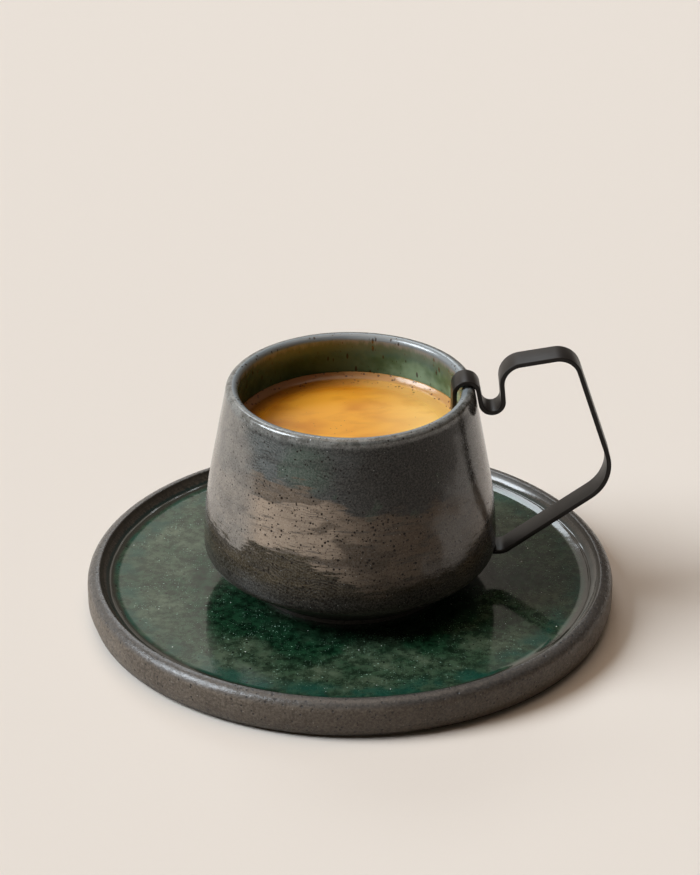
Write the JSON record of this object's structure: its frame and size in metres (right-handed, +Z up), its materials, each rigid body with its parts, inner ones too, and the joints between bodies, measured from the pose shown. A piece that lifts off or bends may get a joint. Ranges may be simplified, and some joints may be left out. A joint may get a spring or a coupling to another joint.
{
  "type": "cup and saucer",
  "caption": "Small stoneware coffee cup with a black folded strip handle hooked over its rim, filled with coffee and standing on a shallow saucer with a glazed well.",
  "frame": {"origin": "middle of the saucer's flat underside", "axes": "+Z up along the axis of cup and saucer, +X from that axis towards the handle"},
  "size_m": [0.13, 0.13, 0.0681],
  "materials": {
    "bare_stoneware": "matte brown-grey clay with dark iron specks",
    "well_glaze": "glossy deep green glaze with pale mottling",
    "cup_glaze": "satin blue-grey to brown glaze, darker and streaked towards the foot",
    "lining_glaze": "glossy olive green glaze with brown specks",
    "black_steel": "satin black powder coat on flat steel strip",
    "coffee": "dark brown liquid",
    "foam": "golden brown foam with a wet surface"
  },
  "bodies": {
    "saucer": {"saucer_body": "bare_stoneware", "saucer_glaze": "well_glaze"},
    "cup": {"cup_body": "bare_stoneware", "cup_outer_glaze": "cup_glaze", "cup_inner_glaze": "lining_glaze", "espresso": "coffee", "crema": "foam"},
    "handle": {"handle": "black_steel"}
  },
  "joints": [
    {"name": "cup_lift", "type": "slide", "parent": "saucer", "child": "cup", "axis": [0, 0, 1], "range_m": [0, 0.08]},
    {"name": "handle_swing", "type": "hinge", "parent": "cup", "child": "handle", "pos_m": [0.02852, 0, 0.0594], "axis": [0, -1, 0], "range_deg": [0, 11]}
  ]
}
